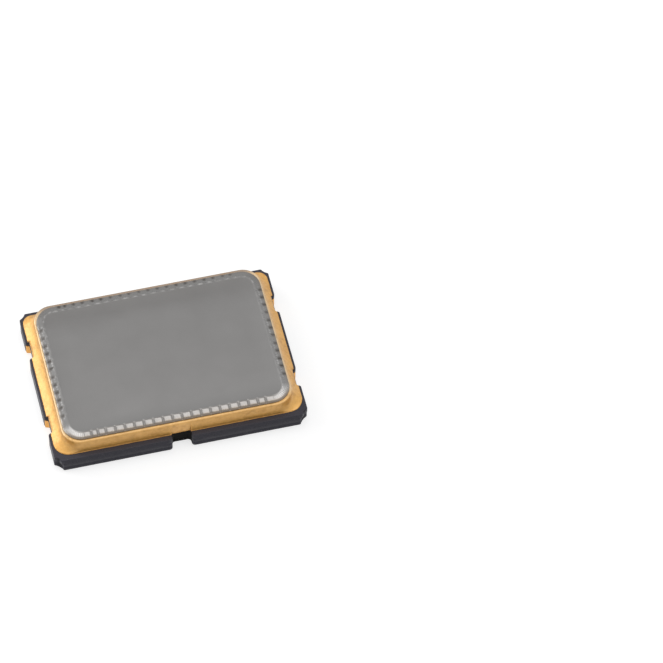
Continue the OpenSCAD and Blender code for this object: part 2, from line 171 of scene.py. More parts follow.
def around(half_x, half_y, long_side, short_side, corner, back_corner=None):
    """Outline from the feature in each long side, the two in each short side and the corners.

    The two corners at the back may have a shape of their own.
    """
    points = []
    for turn, sx, sy in SIDES:
        on_short = turn % 180 == 0
        reach = half_x if on_short else half_y
        feature = short_side if on_short else long_side
        for along in (-PITCH / 2, PITCH / 2) if on_short else (0,):
            points += placed([(x + reach, y + along) for x, y in feature], 0, 0, turn)
        here = back_corner if back_corner and sy > 0 else corner
        points += placed(here, sx * half_x, sy * half_y, turn)
    return points


def rounded(half_x, half_y, r, steps):
    """Rounded rectangle, with that many steps in each corner."""
    points = []
    for turn, sx, sy in SIDES:
        points += arc(sx * (half_x - r), sy * (half_y - r), r, turn, turn + 90, steps)
    return points


def normals(points):
    """Outward normal at each point of a counter-clockwise outline, longer where the outline turns."""
    out = []
    n = len(points)
    for i, (x, y) in enumerate(points):
        ax, ay = points[i - 1]
        bx, by = points[(i + 1) % n]
        e1 = Vector((x - ax, y - ay)).normalized()
        e2 = Vector((bx - x, by - y)).normalized()
        t = (e1 + e2).normalized()
        miter = 1 / max(0.5, t.dot(e2))
        out.append((t.y * miter, -t.x * miter))
    return out


def grown(points, by):
    """Outline moved outward by that much, at each point along its normal."""
    return [(x + nx * by, y + ny * by) for (x, y), (nx, ny) in zip(points, normals(points))]


def ramp(value, start, end):
    """Smooth step from 0 at the start to 1 at the end."""
    t = max(0.0, min(1.0, (value - start) / (end - start)))
    return t * t * (3 - 2 * t)


def bell(value, middle, width):
    """1 at the middle and near 0 beyond a couple of widths from it."""
    return math.exp(-(((value - middle) / width) ** 2))


def ripple(x, y, z, size, depth):
    """Smooth unevenness of that depth, with features of that size."""
    return depth * noise.noise(Vector((x, y, z)) / size)


def uneven(points, size, depth, seed=0.0):
    """Outline whose points wander in and out a little."""
    out = []
    for (x, y), (nx, ny) in zip(points, normals(points)):
        d = ripple(x, y, seed, size, depth)
        out.append((x + nx * d, y + ny * d))
    return out


def edge_profile(r, steps=4):
    """Quarter round from a wall to the face over it, as (inset, drop) pairs."""
    turns = [math.pi / 2 * i / steps for i in range(steps + 1)]
    return [(r - r * math.cos(a), r - r * math.sin(a)) for a in turns]


# ---- Meshes ----

SAME_POINT, NO_LENGTH = 1e-6, 1e-7
SHARP_ANGLE = 35.0


def level(points, z):
    """One ring of a loft: an outline at a height."""
    return [(x, y, z) for x, y in points]


def add_rings(bm, rings, closed=False):
    """Joins rings of equally many points with quads, and returns each ring's vertices."""
    made = [[bm.verts.new(p) for p in ring] for ring in rings]
    pairs = list(zip(made, made[1:]))
    if closed:
        pairs.append((made[-1], made[0]))
    for a, b in pairs:
        n = len(a)
        for i in range(n):
            bm.faces.new((a[i], a[(i + 1) % n], b[(i + 1) % n], b[i]))
    return made


def add_solid(bm, rings):
    """Joins rings with quads and closes both ends, and returns each ring's vertices."""
    made = add_rings(bm, rings)
    bm.faces.new(made[0])
    bm.faces.new(made[-1])
    return made


def fill_between(bm, outer, inner):
    """Flat face between two loops of vertices."""
    edges = []
    for loop in (outer, inner):
        for a, b in zip(loop, loop[1:] + loop[:1]):
            edges.append(bm.edges.get((a, b)) or bm.edges.new((a, b)))
    bmesh.ops.triangle_fill(bm, edges=edges, use_beauty=True)


def piece(name, bm, node, finish, sharp=SHARP_ANGLE):
    """Makes a mesh object in metres that stands for a CAD node, and gives it that finish.

    Edges that turn by more than that many degrees stay sharp.
    """
    bmesh.ops.remove_doubles(bm, verts=bm.verts, dist=SAME_POINT)
    bmesh.ops.dissolve_degenerate(bm, edges=bm.edges, dist=NO_LENGTH)
    bmesh.ops.recalc_face_normals(bm, faces=bm.faces)
    limit = math.radians(sharp)
    for f in bm.faces:
        f.smooth = len(f.verts) <= 4
    for e in bm.edges:
        e.smooth = len(e.link_faces) == 2 and e.calc_face_angle(0) < limit
    mesh = bpy.data.meshes.new(name)
    bm.to_mesh(mesh)
    bm.free()
    mesh.transform(Matrix.Scale(MM, 4))
    mesh.materials.append(finish)
    obj = bpy.data.objects.new(name, mesh)
    bpy.context.scene.collection.objects.link(obj)
    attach(obj, "root")
    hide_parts(node)
    return obj


# ---- Nodes ----


def material(name, color, roughness, metallic=0.0, specular=0.5):
    """A Principled material, with its uniform values on the shader's own sockets."""
    mat = bpy.data.materials.new(name)
    mat.use_nodes = True
    shader = mat.node_tree.nodes["Principled BSDF"]
    shader.inputs["Base Color"].default_value = (*color, 1)
    shader.inputs["Roughness"].default_value = roughness
    shader.inputs["Metallic"].default_value = metallic
    shader.inputs["Specular IOR Level"].default_value = specular
    return mat, mat.node_tree.nodes, mat.node_tree.links, shader


def noise_node(nodes, links, size, detail=3.0):
    """Noise over the object's own coordinates, with features of that size in millimetres."""
    coords = nodes.new("ShaderNodeTexCoord")
    mapping = nodes.new("ShaderNodeMapping")
    mapping.inputs["Scale"].default_value = [1 / (size * MM)] * 3
    tex = nodes.new("ShaderNodeTexNoise")
    tex.inputs["Scale"].default_value = 1.0
    tex.inputs["Detail"].default_value = detail
    links.new(coords.outputs["Object"], mapping.inputs["Vector"])
    links.new(mapping.outputs["Vector"], tex.inputs["Vector"])
    return tex.outputs["Fac"]


def tint_node(nodes, name):
    """The value between 0 and 1 that the mesh's points carry under that name, or 0 if they carry none."""
    node = nodes.new("ShaderNodeAttribute")
    node.attribute_name = name
    return node.outputs["Fac"]


def spread(nodes, links, factor, low_value, high_value, start=0.3, end=0.7):
    """A number between two values, which follows a factor from start to end."""
    span = nodes.new("ShaderNodeMapRange")
    span.inputs["From Min"].default_value = start
    span.inputs["From Max"].default_value = end
    span.inputs["To Min"].default_value = low_value
    span.inputs["To Max"].default_value = high_value
    links.new(factor, span.inputs["Value"])
    return span.outputs["Result"]


def blend(nodes, links, factor, first, second):
    """A colour that follows a factor from the first colour to the second."""
    mix = nodes.new("ShaderNodeMix")
    mix.data_type = "RGBA"
    links.new(factor, mix.inputs["Factor"])
    for socket, color in ((mix.inputs["A"], first), (mix.inputs["B"], second)):
        if isinstance(color, tuple):
            socket.default_value = (*color, 1)
        else:
            links.new(color, socket)
    return mix.outputs["Result"]


def combine(nodes, links, operation, first, second):
    """The result of a math operation on two factors."""
    node = nodes.new("ShaderNodeMath")
    node.operation = operation
    for socket, value in zip(node.inputs, (first, second)):
        links.new(value, socket)
    return node.outputs[0]


def bump(nodes, links, shader, height, depth, after=None):
    """Bump of that depth in millimetres from a height between 0 and 1, over an earlier bump if given."""
    node = nodes.new("ShaderNodeBump")
    node.inputs["Strength"].default_value = 1.0
    node.inputs["Distance"].default_value = depth * MM
    links.new(height, node.inputs["Height"])
    if after is not None:
        links.new(after, node.inputs["Normal"])
    links.new(node.outputs["Normal"], shader.inputs["Normal"])
    return node.outputs["Normal"]


# ---- Materials ----

CERAMIC_TONES = (0.058, 0.057, 0.070), (0.079, 0.077, 0.095)
CERAMIC_SPECK = (0.16, 0.16, 0.18)
# Painted shade for the walls deep in the slots and corner hollows
PAINTED_HOLLOW_SHADE = (0.013, 0.012, 0.011)
PLATE_TONES = (0.70, 0.41, 0.118), (0.50, 0.26, 0.06)
PAD_TONES = (0.84, 0.54, 0.20), (0.74, 0.44, 0.13)
BORE_GOLD = (0.78, 0.42, 0.11)
# Painted highlight for the ring's top edge, and painted shade for its back
PAINTED_RIM_HIGHLIGHT = (0.61, 0.465, 0.29)
PAINTED_BACK_SHADE_GOLD = (0.2, 0.15, 0.13)
NICKEL_TONES = (0.187, 0.184, 0.181), (0.199, 0.196, 0.193)
# Painted highlight for the weld band and its glints
PAINTED_WELD_HIGHLIGHT = (0.42, 0.415, 0.41)
STRAW_NICKEL = (0.215, 0.165, 0.12)
# Darker in the weld's pits, and painted shade along the lid's back
PIT_AND_BACK_SHADE_NICKEL = (0.08, 0.073, 0.066)
MARK_TONES = (0.12, 0.115, 0.12), (0.16, 0.155, 0.16)


def ceramic_material():
    """Black alumina as fired: fine grain, pale specks and faint clouds, with painted shade deep in the slots
    and corner hollows.
    """
    mat, nodes, links, shader = material("black_ceramic", (0.07, 0.068, 0.086), 0.38, specular=0.08)
    grain = noise_node(nodes, links, 0.03, 4.0)
    cloud = noise_node(nodes, links, 0.8, 2.0)
    tone = spread(nodes, links, grain, 0.0, 1.0, 0.35, 0.65)
    fired = blend(nodes, links, tone, *CERAMIC_TONES)
    speck = spread(nodes, links, noise_node(nodes, links, 0.06, 2.0), 0.0, 0.35, 0.66, 0.74)
    fired = blend(nodes, links, speck, fired, CERAMIC_SPECK)
    # Painted shade deep in the slots and corner hollows, which are rougher there too
    painted_hollow_shade = tint_node(nodes, "painted_hollow_shade")
    links.new(blend(nodes, links, painted_hollow_shade, fired, PAINTED_HOLLOW_SHADE), shader.inputs["Base Color"])
    cloudy = spread(nodes, links, cloud, 0.34, 0.41)
    dulled = spread(nodes, links, painted_hollow_shade, 0.0, 0.4, 0, 1)
    links.new(combine(nodes, links, "ADD", cloudy, dulled), shader.inputs["Roughness"])
    bump(nodes, links, shader, grain, 0.002)
    return mat


def gold_material(name, pale, deep, roughness, coat):
    """Electroplated gold: matte, mottled and scuffed, with deeper patches, under a faint sheen.

    It is redder in the terminals' hollows, with a painted highlight on the ring's top edge and painted shade
    at the ring's back.
    """
    mat, nodes, links, shader = material(name, pale, roughness, metallic=1.0)
    shader.inputs["Coat Weight"].default_value = coat
    shader.inputs["Coat Roughness"].default_value = 0.25
    patch = noise_node(nodes, links, 0.35)
    mottle = noise_node(nodes, links, 0.09)
    grain = noise_node(nodes, links, 0.025)
    patched = spread(nodes, links, patch, 0.3, 1.0)
    mottled = spread(nodes, links, mottle, 0.2, 1.0)
    plated = blend(nodes, links, combine(nodes, links, "MULTIPLY", patched, mottled), pale, deep)
    # Redder plating in the hollows, a painted highlight on the ring's top edge, and painted shade at the
    # ring's back
    for tint, colour in (("bore", BORE_GOLD), ("rim_highlight", PAINTED_RIM_HIGHLIGHT), ("pit_and_back_shade", PAINTED_BACK_SHADE_GOLD)):
        plated = blend(nodes, links, tint_node(nodes, tint), plated, colour)
    scuff = spread(nodes, links, noise_node(nodes, links, 0.22, 5.0), 0.0, 0.3, 0.56, 0.7)
    scuffed = tuple(0.6 * c for c in deep)
    links.new(blend(nodes, links, scuff, plated, scuffed), shader.inputs["Base Color"])
    grainy = spread(nodes, links, grain, roughness - 0.05, roughness + 0.07)
    links.new(grainy, shader.inputs["Roughness"])
    fine = bump(nodes, links, shader, grain, 0.002)
    bump(nodes, links, shader, mottle, 0.008, after=fine)
    return mat


def lid_material():
    """Satin nickel with a fine even grain: a painted highlight on the weld, warmed by its heat, dark in its
    pits, with painted shade towards the back.
    """
    mat, nodes, links, shader = material("nickel_lid", (0.2, 0.197, 0.193), 0.38, metallic=1.0)
    grain = noise_node(nodes, links, 0.04)
    cloud = noise_node(nodes, links, 0.9)
    # Painted highlight and painted glints on the weld band
    weld = tint_node(nodes, "weld")
    colour = blend(nodes, links, spread(nodes, links, cloud, 0.0, 1.0), *NICKEL_TONES)
    colour = blend(nodes, links, weld, colour, PAINTED_WELD_HIGHLIGHT)
    colour = blend(nodes, links, tint_node(nodes, "straw"), colour, STRAW_NICKEL)
    # Darker in the weld's pits, and painted shade towards the lid's back
    colour = blend(nodes, links, tint_node(nodes, "pit_and_back_shade"), colour, PIT_AND_BACK_SHADE_NICKEL)
    links.new(colour, shader.inputs["Base Color"])
    satin = spread(nodes, links, grain, 0.34, 0.42)
    smoother = spread(nodes, links, weld, 0.0, 0.08, 0, 0.2)
    links.new(combine(nodes, links, "SUBTRACT", satin, smoother), shader.inputs["Roughness"])
    bump(nodes, links, shader, grain, 0.0008)
    return mat


def mark_material():
    """Matt grey print with a fine grain."""
    mat, nodes, links, shader = material("index_mark", (0.14, 0.135, 0.14), 0.6, specular=0.3)
    grain = noise_node(nodes, links, 0.03)
    tone = spread(nodes, links, grain, 0.0, 1.0)
    links.new(blend(nodes, links, tone, *MARK_TONES), shader.inputs["Base Color"])
    bump(nodes, links, shader, grain, 0.003)
    return mat


def plain_material(name, color, roughness, metallic=0.0, size=0.05, depth=0.001, alpha=1.0):
    """Finish for a piece inside the sealed package: its colour with a little grain."""
    mat, nodes, links, shader = material(name, color, roughness, metallic)
    shader.inputs["Alpha"].default_value = alpha
    grain = noise_node(nodes, links, size, 2.0)
    tone = spread(nodes, links, grain, 0.0, 1.0)
    darker = tuple(0.88 * c for c in color)
    links.new(blend(nodes, links, tone, color, darker), shader.inputs["Base Color"])
    bump(nodes, links, shader, grain, depth)
    return mat


CERAMIC = ceramic_material()
PLATE_GOLD = gold_material("gold_plate", *PLATE_TONES, roughness=0.55, coat=0.7)
PAD_GOLD = gold_material("pad_gold", *PAD_TONES, roughness=0.5, coat=0.3)
NICKEL = lid_material()
MARK = mark_material()


# ---- Ceramic base ----

CERAMIC_EDGE, CERAMIC_FLAT = 0.009, 0.012
CERAMIC_STEP = 0.12
EDGE_WANDER = (0.12, 0.003)  # the size and depth of an uneven edge's waves
SEAM_DEPTH, HALF_SEAM = 0.0025, 0.006


def ceramic_outlines():
    """Outlines of the two lower layers, which share deeper hollows, and of the top one, point for point."""
    lower = around(
        BODY_X,
        BODY_Y,
        slot(SLOT_W, SLOT_DEPTH, SLOT_FLOOR_R, SLOT_MOUTH),
        round_hollow(CONTACT_R, 0, CONTACT_MOUTH),
        corner_hollow(CORNER_R, CORNER_OUT),
    )
    upper = around(
        BODY_X,
        BODY_Y,
        slot(SLOT_W, SLOT_TOP_DEPTH, SLOT_FLOOR_R, SLOT_MOUTH),
        slot(RECESS_W, RECESS_DEPTH, RECESS_FLOOR_R, RECESS_MOUTH),
        corner_hollow(CORNER_TOP_R, CORNER_TOP_OUT),
    )
    return filled([lower, upper], CERAMIC_STEP)


def painted_hollow_shade_at(x, y):
    """How much painted shade the wall carries at a point, which grows with the depth in a slot or corner
    hollow.
    """
    deep_x, deep_y = BODY_X - abs(x), BODY_Y - abs(y)
    if abs(x) < SLOT_W / 2 + 0.01:
        return ramp(deep_y, 0.03, 0.12)
    if max(deep_x, deep_y) < CORNER_R:
        return 0.6 * ramp(min(deep_x, deep_y), 0.03, 0.1)
    return 0.0


def pocket_ring(size, z):
    """Rectangle of the pocket at a height."""
    corners = ((1, -1), (1, 1), (-1, 1), (-1, -1))
    return [(POCKET_X + sx * size[0] / 2, sy * size[1] / 2, z) for sx, sy in corners]


def ceramic_base():
    """Three fired layers, with a faint seam between each pair, and the stepped pocket inside."""
    lower, upper = ceramic_outlines()
    edge = edge_profile(CERAMIC_EDGE)
    flat = CERAMIC_EDGE + CERAMIC_FLAT
    rings = [level(grown(lower, -flat), BASE_Z)]
    for inset, drop in reversed(edge):
        rings.append(level(uneven(grown(lower, -inset), *EDGE_WANDER), BASE_Z + drop))
    rings.append(level(lower, POCKET_LOW - HALF_SEAM))
    rings.append(level(grown(lower, -SEAM_DEPTH), POCKET_LOW))
    rings.append(level(lower, POCKET_LOW + HALF_SEAM))
    rings.append(level(lower, LEDGE_Z - HALF_SEAM))
    rings.append(level(grown(lower, -SEAM_DEPTH), LEDGE_Z))
    rings.append(level(grown(upper, -SEAM_DEPTH), LEDGE_Z))
    rings.append(level(upper, LEDGE_Z + HALF_SEAM))
    for inset, drop in edge:
        rings.append(level(uneven(grown(upper, -inset), *EDGE_WANDER), SHELF_Z - drop))
    rings.append(level(grown(upper, -flat), SHELF_Z))
    bm = bmesh.new()
    # Painted shade on the walls deep in the slots and corner hollows
    painted_hollow_shade = bm.verts.layers.float.new("painted_hollow_shade")
    made = add_rings(bm, rings)
    for ring in made[1:-1]:
        for vert in ring:
            vert[painted_hollow_shade] = painted_hollow_shade_at(vert.co.x, vert.co.y)
    bm.faces.new(made[0])
    opening = add_rings(bm, [pocket_ring(OPENING, SHELF_Z), pocket_ring(OPENING, LEDGE_Z)])
    pocket = add_rings(bm, [pocket_ring(POCKET, LEDGE_Z), pocket_ring(POCKET, POCKET_LOW)])
    fill_between(bm, made[-1], opening[0])
    fill_between(bm, opening[1], pocket[0])
    bm.faces.new(pocket[1])
    return piece("ceramic_body", bm, "ceramic_base", CERAMIC)


# ---- Terminals and the printed mark ----

HOLLOW_STEPS = 24
PAD_ROUND, PAD_STEP = 0.008, 0.05
PAD_WANDER = (0.12, 0.006)
MARK_WANDER = (0.08, 0.008)


def strip_inside(path, stop):
    """The part of a hollow's path that lies at least that deep."""
    return [(x, y) for x, y in path if x <= -stop]


def pad_outline(hollow, has_cut):
    """Solder pad round its end of the hollow, which may have its one corner cut."""
    half = PAD_W / 2
    inner_x = -PAD_EDGE - PAD_L
    corner = arc(inner_x + PAD_CORNER, half - PAD_CORNER, PAD_CORNER, 90, 180, 6)
    if has_cut:
        corner = [(inner_x + PAD_CUT, half), (inner_x, half - PAD_CUT)]
    return (
        [(-PAD_EDGE, -half), (-PAD_EDGE, hollow[0][1])]
        + hollow
        + [(-PAD_EDGE, hollow[-1][1]), (-PAD_EDGE, half)]
        + corner
        + arc(inner_x + PAD_CORNER, -half + PAD_CORNER, PAD_CORNER, 180, 270, 6)
    )


def terminal(node, side):
    """Solder pad with rounded edges, and the plating up the hollow above it."""
    sx, sy = side
    here = (sx * BODY_X, sy * PITCH / 2, 0 if sx > 0 else 180)
    wall = round_hollow(CONTACT_R, 0, CONTACT_MOUTH, HOLLOW_STEPS)
    face = round_hollow(CONTACT_R - PLATING, -PLATING, CONTACT_MOUTH + PLATING, HOLLOW_STEPS)
    face = placed(face, PLATING, 0, 0)
    outline = pad_outline(strip_inside(face, PAD_EDGE + 0.002), node == "terminal_1")
    outline = filled([placed(outline, *here)], PAD_STEP)[0]
    outline = uneven(outline, *PAD_WANDER, seed=sx * 3 + sy)
    pad = [level(grown(outline, -PAD_ROUND - 0.01), 0)]
    pad += [level(grown(outline, -inset), drop) for inset, drop in reversed(edge_profile(PAD_ROUND, 3))]
    pad += [level(outline, BASE_Z)]
    strip = strip_inside(wall, PLATING_STOP) + list(reversed(strip_inside(face, PLATING_STOP)))
    strip = placed(strip, *here)
    bm = bmesh.new()
    bore = bm.verts.layers.float.new("bore")
    add_solid(bm, pad)
    for ring in add_solid(bm, [level(strip, BASE_Z - 0.002), level(strip, LEDGE_Z)]):
        for vert in ring:
            vert[bore] = 1.0
    return piece(node + "_plate", bm, node, PAD_GOLD)


def index_mark():
    """Round printed dot with a soft, slightly wandering edge."""
    (left, front, bottom), (right, back, top) = low("index_mark"), high("index_mark")
    disc = arc((left + right) / 2, (front + back) / 2, (right - left) / 2, 0, 360, 48)[:-1]
    disc = uneven(disc, *MARK_WANDER)
    bm = bmesh.new()
    add_solid(bm, [
        level(grown(disc, -0.02), bottom),
        level(grown(disc, -0.008), bottom),
        level(grown(disc, -0.002), bottom + 0.003),
        level(disc, top),
    ])
    return piece("index_mark_print", bm, "index_mark", MARK)


# ---- Seal ----

SEAL_STEP = 0.06
SEAL_ROUND, SEAL_FLAT, SEAL_INSIDE = 0.008, 0.02, 0.03
SEAL_WANDER = (0.2, 0.006)
SLOT_ROUNDS, RECESS_ROUNDS = (0.022, 0.022), (0.02, 0.025)  # the floor's and the mouth's in its notches
# At the back, the ring and the metal round it lie further out, and the metal is wider at the corners
RING_BACK, BACK_RANGE = 0.03, (1.5, 2.2)
BACK_CORNER, BACK_SPREAD = 0.27, 0.03
SPREAD_X_RANGE, SPREAD_Y_RANGE = (1.6, 2.8), (1.7, 2.3)

BRAZE_EDGE, BRAZE_LIP, BRAZE_STEPS = 0.01, 0.012, 8
STEEP_RISE, FILLET_RISE = 0.338, 0.288
HOLLOWNESS, CORNER_HOLLOWNESS = 0.38, 0.85
NARROW, WIDE = 0.04, 0.22  # the room in which the braze is a steep film, and a full fillet

RING_WALLS = 8
RING_WANDER = (0.5, 0.006)
SHOULDER_Z = RING_TOP - RING_EDGE


def set_back(bm):
    """Moves the back of the ring, or of the metal round it, a little further back than the lid's."""
    for vert in bm.verts:
        vert.co.y += RING_BACK * ramp(vert.co.y, *BACK_RANGE)


def seal_outline(inset):
    """Outline of the metal round the ring: clear of the hollows below it, and wider at the back corners."""
    slot_here = SLOT_TOP_DEPTH + SEAL_GAP - (BODY_Y - SEAL_Y)
    recess_here = RECESS_DEPTH + SEAL_GAP - (BODY_X - SEAL_X)
    long_side = slot(SLOT_W, slot_here, *SLOT_ROUNDS)
    short_side = slot(RECESS_W + 2 * SEAL_GAP, recess_here, *RECESS_ROUNDS)
    corner, back_corner = [arc(-r, -r, r, 0, 90, 20) for r in (SEAL_CORNER, BACK_CORNER)]
    path = filled([around(SEAL_X, SEAL_Y, long_side, short_side, corner, back_corner)], SEAL_STEP)[0]
    spread_out = []
    for x, y in path:
        share = ramp(abs(x), *SPREAD_X_RANGE) * ramp(y, *SPREAD_Y_RANGE)
        spread_out.append((x, y + BACK_SPREAD * share))
    return uneven(grown(spread_out, -inset), *SEAL_WANDER, seed=5.0)


def on_ring(x, y, half_x, half_y, r):
    """The point of a rounded rectangle nearest to a point outside its core."""
    core_x = max(-(half_x - r), min(half_x - r, x))
    core_y = max(-(half_y - r), min(half_y - r, y))
    away = Vector((x - core_x, y - core_y)).normalized() * r
    return core_x + away.x, core_y + away.y


def ring_bore(points, gap=0.0):
    """The ring's inner outline, or one that much further in, opposite each of those points."""
    wall = RING_WALL + gap
    return [on_ring(x, y, RING_X - wall, RING_Y - wall, RING_CORNER - RING_WALL) for x, y in points]


def seal_metal():
    """Flat printed metal on the top layer, from its rounded outer edge to just inside the ring."""
    outer = seal_outline(0)
    inner = ring_bore(outer, SEAL_INSIDE)
    rings = [level(outer, SHELF_Z)]
    rings += [level(grown(outer, -inset), SEAL_TOP - drop) for inset, drop in edge_profile(SEAL_ROUND, 2)]
    rings += [level(grown(outer, -SEAL_FLAT), SEAL_TOP), level(inner, SEAL_TOP), level(inner, SHELF_Z)]
    bm = bmesh.new()
    add_rings(bm, rings, closed=True)
    set_back(bm)
    return piece("seal_metal_print", bm, "seal_metal", PLATE_GOLD)


def braze_slope(edge, wall):
    """Points up the braze from its edge to the ring's wall.

    A notch in the edge cuts the slope, and doesn't bend it.
    """
    (ex, ey), (wx, wy) = edge, wall
    lip = SEAL_TOP + BRAZE_LIP
    steps = range(BRAZE_STEPS + 1)
    if abs(ex) < abs(wx) or abs(ey) < abs(wy):
        shares = [k / BRAZE_STEPS for k in steps]
        return [(ex + (wx - ex) * share, ey + (wy - ey) * share, lip) for share in shares]
    # Along a side, the slope has the side's full width, and a notch leaves only its upper part
    width = math.hypot(ex - wx, ey - wy)
    full = width
    if abs(ey) < RING_Y - RING_CORNER:
        full = SEAL_X - BRAZE_EDGE - RING_X
    elif abs(ex) < RING_X - RING_CORNER:
        full = SEAL_Y - BRAZE_EDGE - RING_Y
    full = max(full, width)
    room = ramp(full, NARROW, WIDE)
    rise = STEEP_RISE + (FILLET_RISE - STEEP_RISE) * room
    hollow = HOLLOWNESS * (0.4 + 0.6 * room)
    corner = ramp(abs(wx), RING_X - RING_CORNER, RING_X - 0.2)
    corner *= ramp(abs(wy), RING_Y - RING_CORNER, RING_Y - 0.2)
    hollow += (CORNER_HOLLOWNESS - hollow) * corner
    start = 1 - width / full
    points = []
    for k in steps:
        across = min(1.0, start + (1 - start) * math.sin(k / BRAZE_STEPS * math.pi / 2))
        up = across + (1 - math.sqrt(1 - across**2) - across) * hollow
        away = (1 - across) * full / max(width, SAME_POINT)
        points.append((wx + (ex - wx) * away, wy + (ey - wy) * away, lip + rise * up))
    return points


def braze_fillet():
    """Braze from the seal metal's edge up the ring's wall: a hollow fillet with room, else a steep film."""
    outer = seal_outline(BRAZE_EDGE)
    wall = [on_ring(x, y, RING_X, RING_Y, RING_CORNER) for x, y in outer]
    bore = ring_bore(outer)
    slopes = [braze_slope(edge_point, wall_point) for edge_point, wall_point in zip(outer, wall)]
    rings = [level(outer, SEAL_TOP)]
    rings += [list(ring) for ring in zip(*slopes)]
    rings += [level(wall, RING_LOW), level(bore, RING_LOW), level(bore, SEAL_TOP)]
    bm = bmesh.new()
    add_rings(bm, rings, closed=True)
    set_back(bm)
    return piece("braze_bead", bm, "braze_fillet", PLATE_GOLD, sharp=50)


def ring_tints(y, z):
    """How much of the painted highlight on the top edge, weaker at the front, and of the painted shade at
    the back a point of the ring shows.
    """
    front = ramp(-y, RING_Y - RING_CORNER, RING_Y - 0.1)
    back = ramp(y, RING_Y - 0.25, RING_Y - 0.06)
    # Painted highlight on the top edge, weaker at the front; painted shade on the top at the back
    rim_highlight = 0.9 * (1 - 0.75 * front) * ramp(z, SHOULDER_Z + 0.008, RING_TOP - 0.003)
    pit_and_back_shade = 0.75 * back * ramp(z, SHOULDER_Z - 0.02, RING_TOP - 0.01)
    return rim_highlight, pit_and_back_shade


def seal_ring():
    """Metal ring under the lid, with slightly uneven walls and a rounded top edge."""
    outer = filled([rounded(RING_X, RING_Y, RING_CORNER, 20)], SEAL_STEP)[0]
    bore = ring_bore(outer)
    rings = [level(outer, RING_LOW)]
    for k in range(1, RING_WALLS):
        z = RING_LOW + (SHOULDER_Z - RING_LOW) * k / RING_WALLS
        rings.append(level(uneven(outer, *RING_WANDER, seed=z * 2), z))
    rings += [level(grown(outer, -inset), RING_TOP - drop) for inset, drop in edge_profile(RING_EDGE, 5)]
    rings += [level(grown(outer, -RING_EDGE - 0.02), RING_TOP), level(bore, RING_TOP), level(bore, RING_LOW)]
    bm = bmesh.new()
    # Painted highlight on the top edge and painted shade at the back
    rim_highlight_layer = bm.verts.layers.float.new("rim_highlight")
    back_shade_layer = bm.verts.layers.float.new("pit_and_back_shade")
    for ring in add_rings(bm, rings, closed=True):
        for vert in ring:
            vert[rim_highlight_layer], vert[back_shade_layer] = ring_tints(vert.co.y, vert.co.z)
    set_back(bm)
    return piece("seal_ring_band", bm, "seal_ring", PLATE_GOLD)


# ---- Lid ----

# The seam weld leaves a row of marks along each side, with a groove between each two
WELD_PITCH = 0.262
WELD_STEP = 0.011
LONG_GROOVES = [-2.42, -2.24] + [-2.02 + WELD_PITCH * k for k in range(17)] + [2.39]
SHORT_GROOVES = [-1.39 + WELD_PITCH * k for k in range(12)]
# The marks' relief: the grooves, the raised middles, the slope's shift, and the streaks at the corners
FRONT_GROOVE_W, FRONT_GROOVE_DEPTH = 0.024, 0.013
SIDE_GROOVE_W, SIDE_GROOVE_DEPTH = 0.056, 0.004
PILLOW, PILLOW_REACH = 0.004, 0.09
SCALLOP, SCALLOP_REACH = 0.022, 0.1
CRUMB_SIZE, CRUMB = 0.1, 0.003
STREAKS, STREAK_DEPTH = 48, 0.0012
# The dark pits at the sides and back: their depth, and how far from the lid's edge they start and reach
PIT_DEPTH, PIT_START, LEFT_PIT_START = 0.007, -0.01, 0.025
PIT_FADE, PIT_REACH, PIT_END = 0.025, 0.09, 0.15
# How much painted highlight the weld band carries, and where its painted glints lie
SHINE, LEFT_SHINE, FRONT_LEFT_SHINE, FRONT_RIGHT_SHINE = 0.2, 0.05, 1.0, 0.9
BACK_GLINTS_AT, SIDE_GLINTS_AT, GLINT_W = 0.19, 0.11, 0.025
# The straw tints that the weld's heat left, and the painted shade along the lid's back
STRAW_MARKS, STRAW_FRONT_EDGE, STRAW_EDGE, BACK_SHADE = 0.16, 0.6, 0.25, 0.24
BOW_X, BOW_Y = 0.004, 0.012
BAND_STEPS = 20
MIDDLE_SHARES = (1.0, 0.85, 0.65, 0.4, 0.15, 0.03)


def in_corner(x, y):
    """1 on the lid's rounded corners, where the two weld passes cross."""
    along_x = ramp(abs(x), LID_X - LID_CORNER - 0.05, LID_X - 0.3)
    along_y = ramp(abs(y), LID_Y - LID_CORNER - 0.05, LID_Y - 0.3)
    return along_x * along_y


def on_left(x, y):
    """Whether a point of the lid's edge is on its left side."""
    return x < -abs(y) - LID_X + LID_Y


def on_back(x, y):
    """Whether a point of the lid's edge is on its back side."""
    return y > abs(x) - LID_X + LID_Y


def weld_shine(x, y):
    """How much painted highlight the weld band carries: least on the left, most in the front corners."""
    straight = LEFT_SHINE if on_left(x, y) else SHINE
    crossed = SHINE
    if y <= 0:
        crossed = FRONT_LEFT_SHINE if x < 0 else FRONT_RIGHT_SHINE
    corner = in_corner(x, y)
    return straight * (1 - corner) + crossed * corner


def scatter(number):
    """A value between -1 and 1 that looks random but is the same each time."""
    value = math.sin(12.9898 * number + 4.1) * 43758.5453
    return 2 * (value - math.floor(value)) - 1


def weld_mark(x, y):
    """The weld's mark at a point of the lid's straight sides, or None at its corners.

    It is whether the mark is in front, the gap to the nearest groove, the mark's own shade between
    -1 and 1, and the room to the corner.
    """
    straight_x, straight_y = LID_X - LID_CORNER, LID_Y - LID_CORNER
    if abs(x) < straight_x and abs(y) > straight_y:
        along, grooves, front, room = x, LONG_GROOVES, y < 0, straight_x - abs(x)
    elif abs(y) < straight_y and abs(x) > straight_x:
        along, grooves, front, room = y, SHORT_GROOVES, False, straight_y - abs(y)
    else:
        return None
    near = min(range(len(grooves)), key=lambda i: abs(along - grooves[i]))
    mark = near + (along > grooves[near])
    # Each side counts its marks from a number of its own
    shade = scatter(mark + 40 * (abs(y) > straight_y) + 80 * (x + y > 0))
    return front, abs(along - grooves[near]), shade, room


